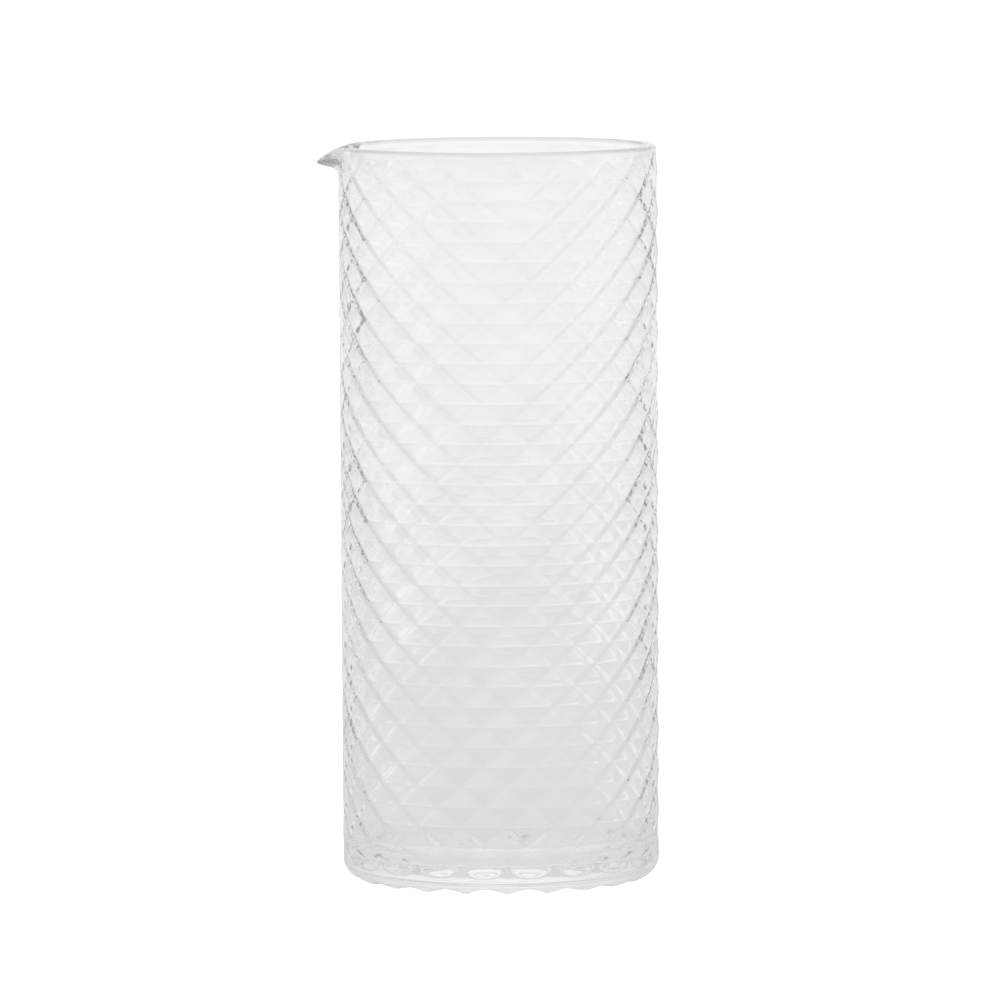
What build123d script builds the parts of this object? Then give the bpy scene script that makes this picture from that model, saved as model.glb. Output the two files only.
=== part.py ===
from build123d import *
import math
import os

os.makedirs("parts", exist_ok=True)

# Mixing glass: one piece of clear moulded glass, standing on z = 0 with its axis on Z.
# The pouring beak points along -X and the XZ plane is the plane of symmetry.

# Body, millimetres
height = 196.0
base_radius = 42.3
top_radius = 42.6
heel_radius = 6.4
lip_radius = 42.15
lip_taper_height = 12.0
rim_round = 1.2

# Net of flat triangles on the outside
facets = 21
first_row = 2.3
row_pitch = 5.32
top_row = 37
skin_gap = 0.1

# Inside
bore_radius = 39.4
floor_thickness = 6.5
floor_dish = 0.8
floor_fillet = 5.0
over_cut = 2.0

# Underside: shallow push-up in the middle, one flute below every corner of the even rows
push_up_radius = 22.0
push_up_depth = 2.0
flute_radius = 11.0
flute_depth = 1.2
flute_inner_radius = 24.0

# Beak: one section per station, counted outwards from the axis, drops counted down from the rim
beak_stations = (38.5, 42.5, 44.6, 46.6, 48.3)
beak_half_widths = (15.5, 11.5, 9.2, 7.0, 4.4)
beak_top_drops = (0.5, 0.6, 1.3, 2.7, 4.2)
beak_bottom_drops = (9.5, 6.6, 5.9, 5.5, 5.2)

# Pouring channel: a round groove bent over the rim like a saddle
channel_radius = 8.5
channel_arch_radius = 14.0
channel_crest_drop = 2.6
channel_crest_reach = 41.0

# Derived dimensions
facet_step = 360.0 / facets
contact_radius = base_radius - heel_radius
draft = (top_radius - base_radius) / height
taper_start = height - lip_taper_height
rim_start = height - rim_round
mouth_radius = bore_radius + rim_round
flute_run = contact_radius - flute_inner_radius
flute_tilt = math.degrees(math.atan2(flute_depth, flute_run))
channel_bend_radius = channel_arch_radius + channel_radius
channel_bend_z = height - channel_crest_drop - channel_arch_radius


def row_points(row):
    """Corners of one row of the net; every second row is turned by half a facet."""
    z = first_row + row * row_pitch
    radius = base_radius + draft * z
    turn = facet_step / 2 if row % 2 == 0 else 0.0
    angles = [math.radians(turn + facet_step * i) for i in range(facets)]
    return [Vector(radius * math.cos(a), radius * math.sin(a), z) for a in angles]


def band_faces(row):
    """Flat triangles between one row of corners and the row above it."""
    low = row_points(row)
    high = row_points(row + 1)
    shift = 1 if row % 2 == 0 else 0
    triangles = []
    for i in range(facets):
        ahead = (i + 1) % facets
        above = (i + shift) % facets
        triangles.append((low[i], low[ahead], high[above]))
        triangles.append((low[i], high[above], high[above - 1]))
    return [Face(Wire.make_polygon(triangle)) for triangle in triangles]


def faceted_column():
    """Closed column of triangles that reaches past both ends of the glass."""
    faces = [Face(Wire.make_polygon(row_points(row))) for row in (-1, top_row)]
    for row in range(-1, top_row):
        faces.extend(band_faces(row))
    return Solid(Shell(faces))


column = faceted_column()

with BuildPart() as glass_vessel:
    add(column)

    # Rounded heel, straight wall and slightly drawn-in lip, just clear of the corners of the net
    with BuildSketch(Plane.XZ):
        with BuildLine():
            Line((0, 0), (contact_radius, 0))
            TangentArc((contact_radius, 0), (base_radius, heel_radius), tangent=(1, 0))
            Polyline(
                (base_radius, heel_radius),
                (top_radius + skin_gap, taper_start),
                (lip_radius, rim_start),
            )
            TangentArc((lip_radius, rim_start), (lip_radius - rim_round, height), tangent=(0, 1))
            Polyline((lip_radius - rim_round, height), (0, height), (0, 0))
        make_face()
    revolve(axis=Axis.Z, mode=Mode.INTERSECT)

    # Pouring beak, still solid, drawn out of the wall and drooping to its tip
    for reach, half_width, top_drop, bottom_drop in zip(
        beak_stations, beak_half_widths, beak_top_drops, beak_bottom_drops
    ):
        with BuildSketch(Plane(origin=(-reach, 0, height), x_dir=(0, -1, 0), z_dir=(-1, 0, 0))):
            with BuildLine():
                ThreePointArc((-half_width, -top_drop), (0, -bottom_drop), (half_width, -top_drop))
                Line((half_width, -top_drop), (-half_width, -top_drop))
            make_face()
    loft()

    # Inside: dished floor, round inner corner, straight bore and rounded mouth
    with BuildSketch(Plane.XZ) as inside:
        with BuildLine():
            Line((0, height + over_cut), (0, floor_thickness))
            floor_corner = (bore_radius, floor_thickness + floor_dish)
            TangentArc((0, floor_thickness), floor_corner, tangent=(1, 0))
            Line(floor_corner, (bore_radius, rim_start))
            TangentArc((bore_radius, rim_start), (mouth_radius, height), tangent=(0, 1))
            Polyline((mouth_radius, height), (mouth_radius, height + over_cut), (0, height + over_cut))
        make_face()
        fillet(inside.vertices().group_by(Axis.Y)[1], radius=floor_fillet)
    revolve(axis=Axis.Z, mode=Mode.SUBTRACT)

    # Pouring channel over the rim and down the beak
    with Locations((-channel_crest_reach, 0, channel_bend_z)):
        Torus(
            channel_bend_radius,
            channel_radius,
            major_angle=180,
            rotation=(90, 0, 0),
            align=None,
            mode=Mode.SUBTRACT,
        )

    # Push-up and flutes of the underside
    with BuildSketch(Plane.XZ):
        with BuildLine():
            TangentArc((0, push_up_depth), (push_up_radius, 0), tangent=(1, 0))
            Polyline((push_up_radius, 0), (0, 0), (0, push_up_depth))
        make_face()
    revolve(axis=Axis.Z, mode=Mode.SUBTRACT)
    with PolarLocations(flute_inner_radius, facets, start_angle=facet_step / 2):
        with Locations(Location((0, 0, -flute_radius), (0, 90 - flute_tilt, 0))):
            Cylinder(
                flute_radius,
                base_radius,
                align=(Align.CENTER, Align.CENTER, Align.MIN),
                mode=Mode.SUBTRACT,
            )

glass_vessel.part.label = "glass_vessel"
export_step(glass_vessel.part, "parts/glass_vessel.step")
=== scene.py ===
"""A faceted mixing glass of clear glass, on a pale floor in soft studio light.

The glass is one surface of revolution, described by a half section and an angle. The net of facets,
the waves of the inside, the flutes of the underside and the beak are all laid over that surface.
"""
import math

import bpy
import numpy as np
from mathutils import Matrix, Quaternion, Vector


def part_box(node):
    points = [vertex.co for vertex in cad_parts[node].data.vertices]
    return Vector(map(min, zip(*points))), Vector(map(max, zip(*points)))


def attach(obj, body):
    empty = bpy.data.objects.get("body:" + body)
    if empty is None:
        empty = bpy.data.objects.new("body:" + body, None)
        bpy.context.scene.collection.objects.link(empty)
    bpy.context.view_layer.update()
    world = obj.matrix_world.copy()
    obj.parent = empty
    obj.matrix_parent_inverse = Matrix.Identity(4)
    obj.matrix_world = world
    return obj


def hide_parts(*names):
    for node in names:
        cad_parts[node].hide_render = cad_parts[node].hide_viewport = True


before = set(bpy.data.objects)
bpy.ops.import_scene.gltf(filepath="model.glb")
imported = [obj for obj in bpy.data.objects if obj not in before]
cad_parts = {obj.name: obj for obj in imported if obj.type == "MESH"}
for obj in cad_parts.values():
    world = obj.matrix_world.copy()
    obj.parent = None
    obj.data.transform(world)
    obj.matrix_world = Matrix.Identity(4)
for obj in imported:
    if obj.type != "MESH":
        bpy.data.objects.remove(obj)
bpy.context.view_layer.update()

# Lengths in this script are millimetres until a mesh or the camera is made
MM = 0.001

# The frame gives the height of the glass and the reach of its beak
node_low, node_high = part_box("glass_vessel")
HEIGHT = node_high[2] / MM
BEAK_REACH = -node_low[0] / MM

# Body, as in the design
BASE_RADIUS = 42.3
TOP_RADIUS = 42.6
HEEL_RADIUS = 6.4
LIP_RADIUS = 42.15
LIP_TAPER_HEIGHT = 12.0
RIM_ROUND = 1.2
BORE_RADIUS = 39.4
FLOOR_THICKNESS = 6.5
FLOOR_DISH = 0.8
FLOOR_FILLET = 5.0
PUSH_UP_RADIUS = 22.0
PUSH_UP_DEPTH = 2.0
FLUTE_RADIUS = 11.0
FLUTE_DEPTH = 1.2
FLUTE_INNER_RADIUS = 24.0

# The flutes run out to nothing within this distance inside their inner radius
FLUTE_RUN_OUT = 3.0

# The half section's plain wall stands clear of the net, this far at the top, so the net is what shows
WALL_CLEARANCE = 0.1

# Net of flat triangles on the outside
FACETS = 21
FIRST_ROW = 2.3
ROW_PITCH = 5.32
OUTER_FIRST_ROW = 1
INNER_FIRST_ROW = 2
HIGHEST_NET_ROW = 36
STEP = 2 * math.pi / FACETS
HALF_STEP = STEP / 2

# Fire polish: how far each crease of the net is rounded, around and along the glass. The rounding is
# a mean over rings of points, each given as (share of the rounding, number of points).
CREASE_ROUND = (0.60, 0.16)
ROUNDING_RINGS = ((0.5, 6), (1.0, 12))
SMOOTH_JOIN = 0.25

# The mould's ridges leave a fine groove on each row
GROOVE_DEPTH = 0.05
GROOVE_HALF_WIDTH = 0.45

# Mesh lines beside each crease, as shares of a facet's height. The last one lies past the rounding of
# both sides of the wall, so the normals hardly change over the middle of a facet.
CREASE_LINES = (0.0, 0.045, 0.16)

# From this row up the facets are divided further, because the beak bends them there. So are the
# edges where the net meets the rings.
FINE_ROW = 34
FINE_SEGMENTS = 8

# Rings of the mesh along each stretch of the half section. The net covers most of the wall, the taper
# and the bore, so theirs are only for what it leaves free.
RINGS = {
    "under": 12,
    "foot": 16,
    "heel": 18,
    "wall": 3,
    "taper": 2,
    "lip": 9,
    "crown": 2,
    "mouth": 9,
    "bore": 2,
    "fillet": 12,
    "floor": 12,
}

# Blown into the mould, the inside follows the net, but more softly, and fades to a plain bore over
# a short height at the rim and at the floor
INNER_ROUND = (0.6, 0.6)
INNER_FOLLOW = 0.92
INNER_FADE = 8.0
NET_MEAN_DEPTH = 0.24

# Waves that blowing leaves on the inside: (waves around, length along the glass, depth, phase)
BORE_WAVES = (
    (2, 150.0, 0.10, 0.4),
    (3, 83.0, 0.09, 2.1),
    (5, 61.0, 0.07, 4.0),
    (7, 37.0, 0.045, 1.3),
    (11, 29.0, 0.03, 5.2),
    (-4, 47.0, 0.07, 3.3),
    (-9, 33.0, 0.035, 0.9),
)

# Beak: centre line from the wall, out under the beak, round its tip and back over the rim.
# Each point is (distance from the axis, drop below the rim, share of the way along the rim's profile)
BEAK_HALF_ANGLE = math.radians(21)
BEAK_ROOT_DROP = 9.0
BEAK_INNER_DROP = 9.0
BEAK_SAMPLES = 200
BEAK_LINE = (
    (TOP_RADIUS, BEAK_ROOT_DROP, 0.00),
    (42.7, 7.4, 0.12),
    (43.7, 6.2, 0.24),
    (45.8, 5.6, 0.36),
    (47.6, 5.1, 0.45),
    (BEAK_REACH, 4.5, 0.50),
    (47.5, 4.0, 0.55),
    (45.2, 3.1, 0.64),
    (42.0, 2.5, 0.74),
    (40.1, 3.1, 0.84),
    (BORE_RADIUS, 5.0, 0.92),
    (BORE_RADIUS, BEAK_INNER_DROP, 1.00),
)

# Across the beak, its droop follows its reach in part, and the cube of its reach for the rest
DROOP_WITH_REACH = 0.55
DROOP_WITH_CUBE = 0.45

# Step of the tables along the half section, the step each way that gives a normal, and the least
# length that a normal is divided by
SAMPLE = 0.01
NUDGE = 0.02
SHORTEST_NORMAL = 1e-12

# Vertices are told apart in this many steps per radian and per millimetre
STEPS_PER_RADIAN = 1e6
STEPS_PER_MM = 1e5


def profile_table():
    """Half section of the glass, from the middle of the underside out, up, over the rim and in.

    Gives the radii, the heights and the distance at which each stretch starts.
    """
    taper_start = HEIGHT - LIP_TAPER_HEIGHT
    rim_start = HEIGHT - RIM_ROUND
    contact = BASE_RADIUS - HEEL_RADIUS
    fillet_z = FLOOR_THICKNESS + FLOOR_DISH + FLOOR_FILLET
    floor_edge = BORE_RADIUS - FLOOR_FILLET

    def line(start, end):
        """Straight stretch, up to but without its end."""
        length = math.dist(start, end)
        t = np.arange(0, length, SAMPLE) / length
        return [start[i] + (end[i] - start[i]) * t for i in (0, 1)]

    def arc(centre, radius, first, last):
        """Round stretch between two angles, up to but without the last."""
        length = abs(last - first) * radius
        angle = first + (last - first) * np.arange(0, length, SAMPLE) / length
        return [centre[0] + radius * np.cos(angle), centre[1] + radius * np.sin(angle)]

    def dish(start_r, end_r, edge_r, edge_z, rise):
        """Stretch of a shallow dome that is edge_z high at edge_r and rises by rise at the axis."""
        r = np.linspace(start_r, end_r, int(abs(end_r - start_r) / SAMPLE), endpoint=False)
        return [r, edge_z + rise * (1 - (r / edge_r) ** 2)]

    quarter = math.pi / 2
    wall_top_r = TOP_RADIUS + WALL_CLEARANCE
    crown_r = LIP_RADIUS - RIM_ROUND
    mouth_r = BORE_RADIUS + RIM_ROUND
    pieces = [
        ("under", dish(0, PUSH_UP_RADIUS, PUSH_UP_RADIUS, 0, PUSH_UP_DEPTH)),
        ("foot", line((PUSH_UP_RADIUS, 0), (contact, 0))),
        ("heel", arc((contact, HEEL_RADIUS), HEEL_RADIUS, -quarter, 0)),
        ("wall", line((BASE_RADIUS, HEEL_RADIUS), (wall_top_r, taper_start))),
        ("taper", line((wall_top_r, taper_start), (LIP_RADIUS, rim_start))),
        ("lip", arc((crown_r, rim_start), RIM_ROUND, 0, quarter)),
        ("crown", line((crown_r, HEIGHT), (mouth_r, HEIGHT))),
        ("mouth", arc((mouth_r, rim_start), RIM_ROUND, quarter, 2 * quarter)),
        ("bore", line((BORE_RADIUS, rim_start), (BORE_RADIUS, fillet_z))),
        ("fillet", arc((floor_edge, fillet_z), FLOOR_FILLET, 0, -quarter)),
        ("floor", dish(floor_edge, 0, BORE_RADIUS, FLOOR_THICKNESS + FLOOR_DISH, -FLOOR_DISH)),
    ]
    starts = {}
    r, z = [], []
    count = 0
    for name, (rs, zs) in pieces:
        starts[name] = count * SAMPLE
        r.append(rs)
        z.append(zs)
        count += len(rs)
    starts["end"] = (count - 1) * SAMPLE
    return np.concatenate(r), np.concatenate(z), starts


PROFILE_R, PROFILE_Z, START = profile_table()
PROFILE_S = np.arange(len(PROFILE_R)) * SAMPLE
RIM_MIDDLE = (START["crown"] + START["mouth"]) / 2
UP_TO_LIP_S = PROFILE_S[: int(START["lip"] / SAMPLE)]
UP_TO_LIP_Z = PROFILE_Z[: len(UP_TO_LIP_S)]


def wall_place(z):
    """Distance along the half section of a height on the outside of the wall."""
    on_wall = UP_TO_LIP_Z >= HEEL_RADIUS
    return float(np.interp(z, UP_TO_LIP_Z[on_wall], UP_TO_LIP_S[on_wall]))


def row_turn(row):
    """Every second row of the net is turned by half a facet."""
    return np.where(row % 2 == 0, HALF_STEP, 0.0)


def smooth_min(a, b, width):
    """The smaller of two lengths, rounded where they cross."""
    h = np.clip(0.5 + 0.5 * (b - a) / width, 0, 1)
    return b + (a - b) * h - width * h * (1 - h)


def net_radius(angle, z):
    """Distance from the axis to the net of flat triangles."""
    height = (z - FIRST_ROW) / ROW_PITCH
    row = np.floor(height)
    up = height - row
    turn = row_turn(row)
    draft = (TOP_RADIUS - BASE_RADIUS) / HEIGHT
    low = BASE_RADIUS + draft * (FIRST_ROW + row * ROW_PITCH)
    high = low + draft * ROW_PITCH
    flat = math.cos(HALF_STEP)
    from_low = (angle - turn + HALF_STEP) % STEP - HALF_STEP
    from_high = (angle - turn) % STEP - HALF_STEP
    down_face = (low + (high * flat - low) * up) / np.cos(from_low)
    up_face = (low * flat + (high - low * flat) * up) / np.cos(from_high)
    return np.minimum(down_face, up_face)


def polished_net_radius(angle, z, rounding=CREASE_ROUND):
    """The net with its creases rounded: the mean over a small oval."""
    total = net_radius(angle, z)
    weight = 1.0
    for ring, count in ROUNDING_RINGS:
        for i in range(count):
            turn = 2 * math.pi * (i + 0.5) / count
            side = rounding[0] * ring * math.cos(turn) / BASE_RADIUS
            total = total + net_radius(angle + side, z + rounding[1] * ring * math.sin(turn))
            weight += 1.0
    return total / weight


def row_groove(angle, z):
    """Depth of the fine groove along each row, which fades out at the corners of the net."""
    height = (z - FIRST_ROW) / ROW_PITCH
    row = np.round(height)
    away = np.clip(np.abs(height - row) * ROW_PITCH / GROOVE_HALF_WIDTH, 0, 1)
    between = np.sin(FACETS / 2 * (angle - row_turn(row))) ** 2
    return GROOVE_DEPTH * between * (1 - away) ** 2


def flute_height(angle, r):
    """Roof of the nearest flute of the underside, one below each corner of the even rows."""
    from_flute = angle % STEP - HALF_STEP
    along = r * np.cos(from_flute)
    across = r * np.sin(from_flute)
    slope = FLUTE_DEPTH / (BASE_RADIUS - HEEL_RADIUS - FLUTE_INNER_RADIUS)
    drop = np.sqrt(np.maximum(FLUTE_RADIUS**2 - across**2, 0)) - FLUTE_RADIUS
    return drop + (along - FLUTE_INNER_RADIUS) * slope


def bore_wave(angle, z):
    """Faint waviness that blowing leaves on the inside."""
    total = 0.0
    for turns, length, depth, phase in BORE_WAVES:
        total = total + depth * np.sin(turns * angle + 2 * math.pi * z / length + phase)
    return total


def beak_line_tables():
    """Smooth (Catmull-Rom) curve through the beak's points: shares, radii and heights."""
    points = np.array(BEAK_LINE)
    points[:, 1] = HEIGHT - points[:, 1]
    ends = np.vstack([2 * points[0] - points[1], points, 2 * points[-1] - points[-2]])
    share, r, z = [], [], []
    for i in range(len(points) - 1):
        p0, p1, p2, p3 = ends[i : i + 4]
        t = np.linspace(0, 1, BEAK_SAMPLES, endpoint=i == len(points) - 2)[:, None]
        curve = 0.5 * (
            2 * p1
            + (p2 - p0) * t
            + (2 * p0 - 5 * p1 + 4 * p2 - p3) * t**2
            + (3 * p1 - p0 - 3 * p2 + p3) * t**3
        )
        share.append(p1[2] + (p2[2] - p1[2]) * t[:, 0])
        r.append(curve[:, 0])
        z.append(curve[:, 1])
    return np.concatenate(share), np.concatenate(r), np.concatenate(z)


BEAK_SHARE, BEAK_R, BEAK_Z = beak_line_tables()
BEAK_START_S = wall_place(HEIGHT - BEAK_ROOT_DROP)
BEAK_END_S = START["bore"] + BEAK_INNER_DROP - RIM_ROUND


def surface(angle, s):
    """Point of the glass at an angle about the axis and a distance along the half section."""
    r = np.interp(s, PROFILE_S, PROFILE_R)
    z = np.interp(s, PROFILE_S, PROFILE_Z)
    outside = (s > START["heel"]) & (s < START["crown"])
    inside = (s > START["mouth"]) & (s < START["floor"])
    underneath = s < START["wall"]

    netted = smooth_min(r, polished_net_radius(angle, z) - row_groove(angle, z), SMOOTH_JOIN)
    r = np.where(outside, netted, r)

    below_rim = np.clip((HEIGHT - z) / INNER_FADE, 0, 1)
    above_floor = np.clip((z - FLOOR_THICKNESS) / INNER_FADE, 0, 1)
    mean = BASE_RADIUS + (TOP_RADIUS - BASE_RADIUS) * z / HEIGHT - NET_MEAN_DEPTH
    follow = INNER_FOLLOW * (polished_net_radius(angle, z, INNER_ROUND) - mean)
    r = np.where(inside, r + below_rim * above_floor * (bore_wave(angle, z) + follow), r)

    lifted = -smooth_min(-z, -flute_height(angle, r), SMOOTH_JOIN)
    fluted = underneath & (r > FLUTE_INNER_RADIUS - FLUTE_RUN_OUT)
    z = np.where(fluted, np.maximum(lifted, z), z)

    first = np.clip((s - BEAK_START_S) / (RIM_MIDDLE - BEAK_START_S), 0, 1) / 2
    second = np.clip((s - RIM_MIDDLE) / (BEAK_END_S - RIM_MIDDLE), 0, 1) / 2
    share = first + second
    off = np.abs((angle % (2 * math.pi)) - math.pi) / BEAK_HALF_ANGLE
    pull = np.where(off < 1, np.cos(np.clip(off, 0, 1) * math.pi / 2) ** 2, 0.0)
    pull = np.where((share > 0) & (share < 1), pull, 0.0)
    droop = DROOP_WITH_REACH * pull + DROOP_WITH_CUBE * pull**3
    beak_r = np.interp(share, BEAK_SHARE, BEAK_R)
    beak_z = np.interp(share, BEAK_SHARE, BEAK_Z)
    r = r + (beak_r - r) * pull
    z = z + (beak_z - z) * droop
    return np.stack([r * np.cos(angle), r * np.sin(angle), z], axis=-1)


def surface_normal(angle, s):
    """Outward normal of the glass, from small steps each way along its surface."""
    turn = NUDGE / BASE_RADIUS
    around = surface(angle + turn, s) - surface(angle - turn, s)
    further = surface(angle, np.minimum(s + NUDGE, START["end"]))
    along = further - surface(angle, np.maximum(s - NUDGE, 0))
    normal = np.cross(around, along)
    length = np.linalg.norm(normal, axis=-1, keepdims=True)
    return normal / np.maximum(length, SHORTEST_NORMAL)


def edge_shares(segments):
    """Places of the mesh lines along one edge of a triangle, from 0 up to but without 1."""
    margin = CREASE_LINES[-1]
    middle = [margin + (1 - 2 * margin) * i / segments for i in range(1, segments)]
    return list(CREASE_LINES) + middle + [1 - t for t in reversed(CREASE_LINES[1:])]


def triangle_polygons(corners, segments):
    """One facet as polygons: close lines along its creases and a flat middle.

    corners are three (angle, s) pairs, and segments[i] divides the edge opposite corner i.
    """
    lines = CREASE_LINES
    margin = lines[-1]
    inner = 1 - 3 * margin
    corners = np.array(corners)
    steps = range(len(lines) - 1)
    polygons = []

    def weights(i, near, j, far):
        """Shares of the three corners in a point: near for i, far for j and the rest for the third."""
        result = [1 - near - far] * 3
        result[i] = near
        result[j] = far
        return result

    for k in range(3):
        i, j = (k + 1) % 3, (k + 2) % 3
        for a in steps:
            for b in steps:
                square = ((a, b), (a + 1, b), (a + 1, b + 1), (a, b + 1))
                polygons.append([weights(i, lines[p], j, lines[q]) for p, q in square])
            for n in range(segments[k]):
                strip = []
                for line, step in ((a, n), (a, n + 1), (a + 1, n + 1), (a + 1, n)):
                    share = margin + (1 - 2 * margin - lines[line]) * step / segments[k]
                    strip.append(weights(k, lines[line], j, share))
                polygons.append(strip)
    if min(segments) > 1:
        count = segments[0]
        for p in range(count):
            for q in range(count - p):
                cells = [((p, q), (p + 1, q), (p, q + 1))]
                if p + q < count - 1:
                    cells.append(((p + 1, q), (p + 1, q + 1), (p, q + 1)))
                for cell in cells:
                    shares = [(margin + inner * u / count, margin + inner * v / count) for u, v in cell]
                    polygons.append([weights(0, u, 1, v) for u, v in shares])
    else:
        middle = []
        for k in range(3):
            for n in range(segments[k]):
                share = margin + inner * (segments[k] - n) / segments[k]
                middle.append(weights(k, margin, (k + 1) % 3, share))
        polygons.append(middle)
    return [[tuple(np.array(point) @ corners) for point in polygon] for polygon in polygons]


def outer_row(row):
    """Distance along the half section of one row of the net on the outside."""
    return wall_place(FIRST_ROW + row * ROW_PITCH)


def inner_row(row):
    """Distance along the half section of one row of the net on the inside."""
    return START["bore"] + (HEIGHT - RIM_ROUND) - (FIRST_ROW + row * ROW_PITCH)


def net_polygons(row_place, first_row):
    """Every facet of one side of the wall, from its first full row to the highest."""
    polygons = []
    for row in range(first_row, HIGHEST_NET_ROW):
        low, high = row_place(row), row_place(row + 1)
        left = float(row_turn(row))
        sides = FINE_SEGMENTS if row >= FINE_ROW else 1
        below = FINE_SEGMENTS if row >= FINE_ROW or row == first_row else 1
        above = FINE_SEGMENTS if row + 1 >= FINE_ROW else 1
        up = [(left, low), (left + STEP, low), (left + HALF_STEP, high)]
        down = [(left, low), (left + HALF_STEP, high), (left - HALF_STEP, high)]
        facets = triangle_polygons(up, (sides, sides, below))
        facets += triangle_polygons(down, (above, sides, sides))
        if high < low:
            # The half section runs down the inside, which turns its facets over
            facets = [polygon[::-1] for polygon in facets]
        for i in range(FACETS):
            polygons += [[(angle + i * STEP, s) for angle, s in polygon] for polygon in facets]
    return polygons


def ring_polygons(rings, turn):
    """Quads between rings that all carry the mesh lines of one row of the net."""
    shares = edge_shares(FINE_SEGMENTS)
    angles = [turn + (i + share) * STEP for i in range(FACETS) for share in shares]
    angles.append(turn + FACETS * STEP)
    polygons = []
    for lower, upper in zip(rings, rings[1:]):
        for left, right in zip(angles, angles[1:]):
            quad = [(left, lower), (right, lower), (right, upper), (left, upper)]
            if lower == 0:
                quad = [(0.0, 0.0), (right, upper), (left, upper)]
            if upper == START["end"]:
                quad = [(left, lower), (right, lower), (0.0, START["end"])]
            polygons.append(quad)
    return polygons


def spread(start, end, count):
    """Evenly spaced distances from start up to but without end."""
    return [start + (end - start) * i / count for i in range(count)]


def vessel_polygons():
    """The whole skin of the glass, as polygons of (angle, s) corners."""
    bottom = (
        spread(START["under"], START["foot"], RINGS["under"])
        + spread(START["foot"], START["heel"], RINGS["foot"])
        + spread(START["heel"], START["wall"], RINGS["heel"])
        + spread(START["wall"], outer_row(OUTER_FIRST_ROW), RINGS["wall"])
        + [outer_row(OUTER_FIRST_ROW)]
    )
    top = (
        spread(outer_row(HIGHEST_NET_ROW), START["lip"], RINGS["taper"])
        + spread(START["lip"], START["crown"], RINGS["lip"])
        + spread(START["crown"], START["mouth"], RINGS["crown"])
        + spread(START["mouth"], START["bore"], RINGS["mouth"])
        + [START["bore"], inner_row(HIGHEST_NET_ROW)]
    )
    floor = (
        spread(inner_row(INNER_FIRST_ROW), START["fillet"], RINGS["bore"])
        + spread(START["fillet"], START["floor"], RINGS["fillet"])
        + spread(START["floor"], START["end"], RINGS["floor"])
        + [START["end"]]
    )
    polygons = net_polygons(outer_row, OUTER_FIRST_ROW) + net_polygons(inner_row, INNER_FIRST_ROW)
    for rings, row in ((bottom, OUTER_FIRST_ROW), (top, HIGHEST_NET_ROW), (floor, INNER_FIRST_ROW)):
        polygons += ring_polygons(rings, float(row_turn(row)))
    return polygons


def join_corners(polygons):
    """Angle and distance of each vertex, and the polygons as numbers of vertices."""
    sizes = [len(p) for p in polygons]
    flat = np.array([corner for p in polygons for corner in p])
    turn_key = np.round((flat[:, 0] % (2 * math.pi)) * STEPS_PER_RADIAN).astype(np.int64)
    turn_key %= int(round(2 * math.pi * STEPS_PER_RADIAN))
    length_key = np.round(flat[:, 1] * STEPS_PER_MM).astype(np.int64)
    keys = np.stack([turn_key, length_key], axis=-1)
    _, first, inverse = np.unique(keys, axis=0, return_index=True, return_inverse=True)
    inverse = inverse.reshape(-1)
    faces = []
    at = 0
    for size in sizes:
        faces.append(inverse[at : at + size].tolist())
        at += size
    return flat[first, 0], flat[first, 1], faces


def vessel_mesh():
    """The whole glass as one closed mesh with exact normals."""
    angle, s, faces = join_corners(vessel_polygons())
    points = surface(angle, s) * MM
    normals = surface_normal(angle, s)
    normals[s == 0] = (0, 0, -1)
    normals[s == START["end"]] = (0, 0, 1)
    mesh = bpy.data.meshes.new("glass_body")
    mesh.from_pydata(points.tolist(), [], faces)
    if mesh.validate():
        raise ValueError("the glass mesh has faces that don't fit together")
    mesh.polygons.foreach_set("use_smooth", [True] * len(mesh.polygons))
    mesh.normals_split_custom_set_from_vertices(normals.tolist())
    mesh.update()
    return mesh


# Glass: almost colourless, with a faint ripple in its skin. The ripple's scale is per metre and its
# height is in metres.
GLASS_TINT = 0.985
GLASS_IOR = 1.5
RIPPLE_SCALE = 130.0
RIPPLE_DETAIL = 2.0
RIPPLE_STRENGTH = 0.03
RIPPLE_HEIGHT = 0.0005


def clear_glass():
    """Clear glass with a trace of unevenness in its skin."""
    material = bpy.data.materials.new("clear_glass")
    material.use_nodes = True
    nodes = material.node_tree.nodes
    links = material.node_tree.links
    shader = nodes["Principled BSDF"]
    shader.inputs["Base Color"].default_value = (GLASS_TINT, GLASS_TINT, GLASS_TINT, 1)
    shader.inputs["Roughness"].default_value = 0.0
    shader.inputs["IOR"].default_value = GLASS_IOR
    shader.inputs["Transmission Weight"].default_value = 1.0
    place = nodes.new("ShaderNodeTexCoord")
    ripple = nodes.new("ShaderNodeTexNoise")
    ripple.inputs["Scale"].default_value = RIPPLE_SCALE
    ripple.inputs["Detail"].default_value = RIPPLE_DETAIL
    bump = nodes.new("ShaderNodeBump")
    bump.inputs["Strength"].default_value = RIPPLE_STRENGTH
    bump.inputs["Distance"].default_value = RIPPLE_HEIGHT
    links.new(place.outputs["Object"], ripple.inputs["Vector"])
    links.new(ripple.outputs["Fac"], bump.inputs["Height"])
    links.new(bump.outputs["Normal"], shader.inputs["Normal"])
    return material


def make_glass():
    """The visible glass, which stands for the solid one of the frame."""
    mesh = vessel_mesh()
    glass = bpy.data.objects.new("glass_body", mesh)
    bpy.context.collection.objects.link(glass)
    mesh.materials.append(clear_glass())
    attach(glass, "root")
    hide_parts("glass_vessel")


# The surround is this bright where it's seen directly
BACKDROP = 1.1

# The rest is what the glass refracts and reflects, as (place, brightness) stops.
# Studio: against the direction's Y, from the camera's side to the far side
STUDIO_LIGHT = (
    (-1.0, 0.38),
    (-0.85, 0.43),
    (-0.6, 0.56),
    (-0.3, 0.70),
    (0.0, 0.78),
    (0.5, 0.78),
    (0.8, 0.82),
    (0.95, 0.90),
    (1.0, 0.97),
)

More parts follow.
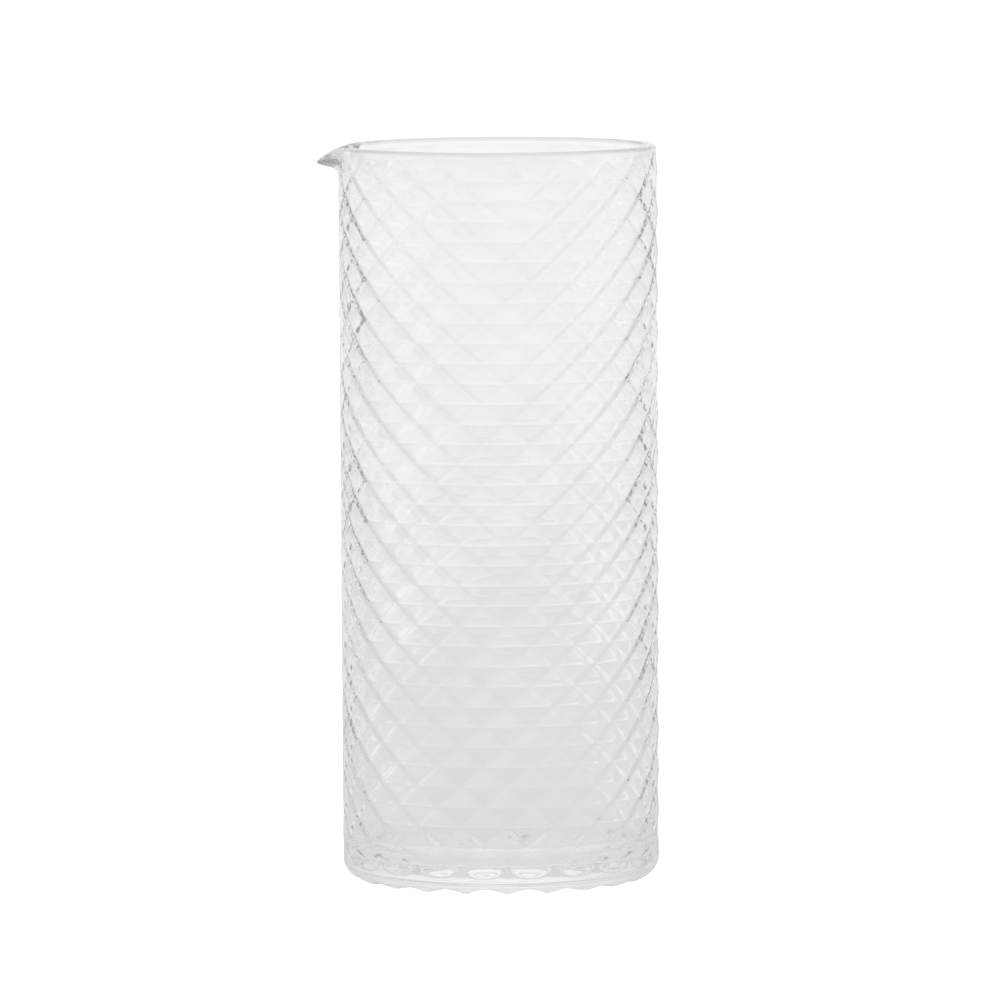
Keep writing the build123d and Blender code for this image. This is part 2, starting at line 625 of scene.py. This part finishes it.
# Floor: against Y in metres, from in front of the glass to far behind it
FLOOR_LIGHT = (
    (-4.0, 0.41),
    (-0.8, 0.47),
    (-0.4, 0.55),
    (-0.17, 0.70),
    (0.1, 0.735),
    (0.5, 0.78),
    (1.1, 0.87),
    (1.9, 0.92),
    (4.0, 0.97),
)

# Floor: the share of that light which is left to the sides, against the distance to the side over
# the distance from the glass. The softening, in metres, keeps the ratio small under the glass.
FLOOR_SIDE_LIGHT = ((0.0, 1.0), (0.2, 0.97), (0.5, 0.82), (1.0, 0.72))
FLOOR_SIDE_SOFTENING = 0.1

FLOOR_SIZE = 12.0
FLOOR_GAP = 0.0002
FLOOR_BOUNCE = 0.05


def math_node(nodes, links, operation, *values):
    """Result of a Math node, from other nodes' outputs and plain numbers."""
    node = nodes.new("ShaderNodeMath")
    node.operation = operation
    for socket, value in zip(node.inputs, values):
        if isinstance(value, float):
            socket.default_value = value
        else:
            links.new(value, socket)
    return node.outputs["Value"]


def behind_glass(nodes, links, glow):
    """The surround is white where it's seen directly, and lit as the studio for every other ray."""
    ray = nodes.new("ShaderNodeLightPath")
    pick = nodes.new("ShaderNodeMix")
    pick.inputs["B"].default_value = BACKDROP
    links.new(ray.outputs["Is Camera Ray"], pick.inputs["Factor"])
    links.new(glow, pick.inputs["A"])
    return pick.outputs["Result"]


def light_ramp(nodes, links, value, stops):
    """Brightness that changes smoothly with a value, through (value, brightness) stops."""
    low, high = stops[0][0], stops[-1][0]
    top = max(brightness for _, brightness in stops)
    level = nodes.new("ShaderNodeMapRange")
    level.inputs["From Min"].default_value = low
    level.inputs["From Max"].default_value = high
    curve = nodes.new("ShaderNodeFloatCurve")
    points = curve.mapping.curves[0].points
    middle = 0.5
    while len(points) < len(stops):
        points.new(middle, middle)
    for point, (place, brightness) in zip(points, stops):
        point.location = ((place - low) / (high - low), brightness / top)
    curve.mapping.update()
    links.new(value, level.inputs["Value"])
    links.new(level.outputs["Result"], curve.inputs["Value"])
    return math_node(nodes, links, "MULTIPLY", curve.outputs["Value"], top)


def floor_glow(nodes, links):
    """Light of the floor: graded from front to back, and a little darker to the sides."""
    place = nodes.new("ShaderNodeTexCoord")
    split = nodes.new("ShaderNodeSeparateXYZ")
    links.new(place.outputs["Object"], split.inputs["Vector"])
    distance = nodes.new("ShaderNodeVectorMath")
    distance.operation = "LENGTH"
    links.new(place.outputs["Object"], distance.inputs[0])
    sideways = math_node(nodes, links, "ABSOLUTE", split.outputs["X"])
    further = math_node(nodes, links, "ADD", distance.outputs["Value"], FLOOR_SIDE_SOFTENING)
    aside = math_node(nodes, links, "DIVIDE", sideways, further)
    along = light_ramp(nodes, links, split.outputs["Y"], FLOOR_LIGHT)
    share = light_ramp(nodes, links, aside, FLOOR_SIDE_LIGHT)
    return math_node(nodes, links, "MULTIPLY", along, share)


def make_floor():
    """Pale floor that glows like a lit table."""
    mesh = bpy.data.meshes.new("floor")
    size = FLOOR_SIZE
    corners = [(-size, -size, 0), (size, -size, 0), (size, size, 0), (-size, size, 0)]
    mesh.from_pydata(corners, [], [(0, 1, 2, 3)])
    floor = bpy.data.objects.new("floor", mesh)
    floor.location.z = -FLOOR_GAP
    bpy.context.collection.objects.link(floor)
    material = bpy.data.materials.new("floor")
    material.use_nodes = True
    nodes = material.node_tree.nodes
    links = material.node_tree.links
    shader = nodes["Principled BSDF"]
    shader.inputs["Base Color"].default_value = (FLOOR_BOUNCE, FLOOR_BOUNCE, FLOOR_BOUNCE, 1)
    shader.inputs["Roughness"].default_value = 1.0
    shader.inputs["Specular IOR Level"].default_value = 0.0
    shader.inputs["Emission Strength"].default_value = 1.0
    glow = behind_glass(nodes, links, floor_glow(nodes, links))
    links.new(glow, shader.inputs["Emission Color"])
    mesh.materials.append(material)


def make_world():
    """Soft light all round, graded from the camera's side to the far side."""
    world = bpy.data.worlds.new("studio")
    world.use_nodes = True
    nodes = world.node_tree.nodes
    links = world.node_tree.links
    direction = nodes.new("ShaderNodeTexCoord")
    split = nodes.new("ShaderNodeSeparateXYZ")
    links.new(direction.outputs["Generated"], split.inputs["Vector"])
    glow = light_ramp(nodes, links, split.outputs["Y"], STUDIO_LIGHT)
    links.new(behind_glass(nodes, links, glow), nodes["Background"].inputs["Color"])
    bpy.context.scene.world = world


# Camera: the direction that it looks from, then its distance from the aim and the width that it sees
# there, in metres. The sensor's width is in millimetres.
CAMERA_AZIMUTH = math.radians(1.9)
CAMERA_ELEVATION = math.radians(5.13)
CAMERA_ROLL = math.radians(0.274)
CAMERA_DISTANCE = 2.585
CAMERA_VIEW_WIDTH = 0.26656
CAMERA_AIM = Vector((0.00013, 0, 0.10118))
CAMERA_REACH = 100.0
SENSOR_WIDTH = 36.0


def make_camera():
    """Camera a long way off, a little above the middle of the glass and tilted down at it."""
    level = math.cos(CAMERA_ELEVATION)
    sideways = math.sin(CAMERA_AZIMUTH) * level
    towards = -math.cos(CAMERA_AZIMUTH) * level
    back = Vector((sideways, towards, math.sin(CAMERA_ELEVATION)))
    data = bpy.data.cameras.new("camera")
    camera = bpy.data.objects.new("camera", data)
    bpy.context.collection.objects.link(camera)
    camera.location = CAMERA_AIM + CAMERA_DISTANCE * back
    camera.rotation_mode = "QUATERNION"
    roll = Quaternion((0, 0, 1), -CAMERA_ROLL)
    camera.rotation_quaternion = (-back).to_track_quat("-Z", "Y") @ roll
    data.sensor_width = SENSOR_WIDTH
    data.lens = SENSOR_WIDTH * CAMERA_DISTANCE / CAMERA_VIEW_WIDTH
    data.clip_end = CAMERA_REACH
    bpy.context.scene.camera = camera


# Light crosses the glass many times before it leaves the rim and the beak
BOUNCES = 64


def set_view_and_bounces():
    """Plain view of the colours, and enough bounces for the thick parts of the glass."""
    scene = bpy.context.scene
    scene.view_settings.view_transform = "Standard"
    scene.cycles.max_bounces = BOUNCES
    scene.cycles.transmission_bounces = BOUNCES
    scene.cycles.glossy_bounces = BOUNCES


make_glass()
make_floor()
make_world()
make_camera()
set_view_and_bounces()
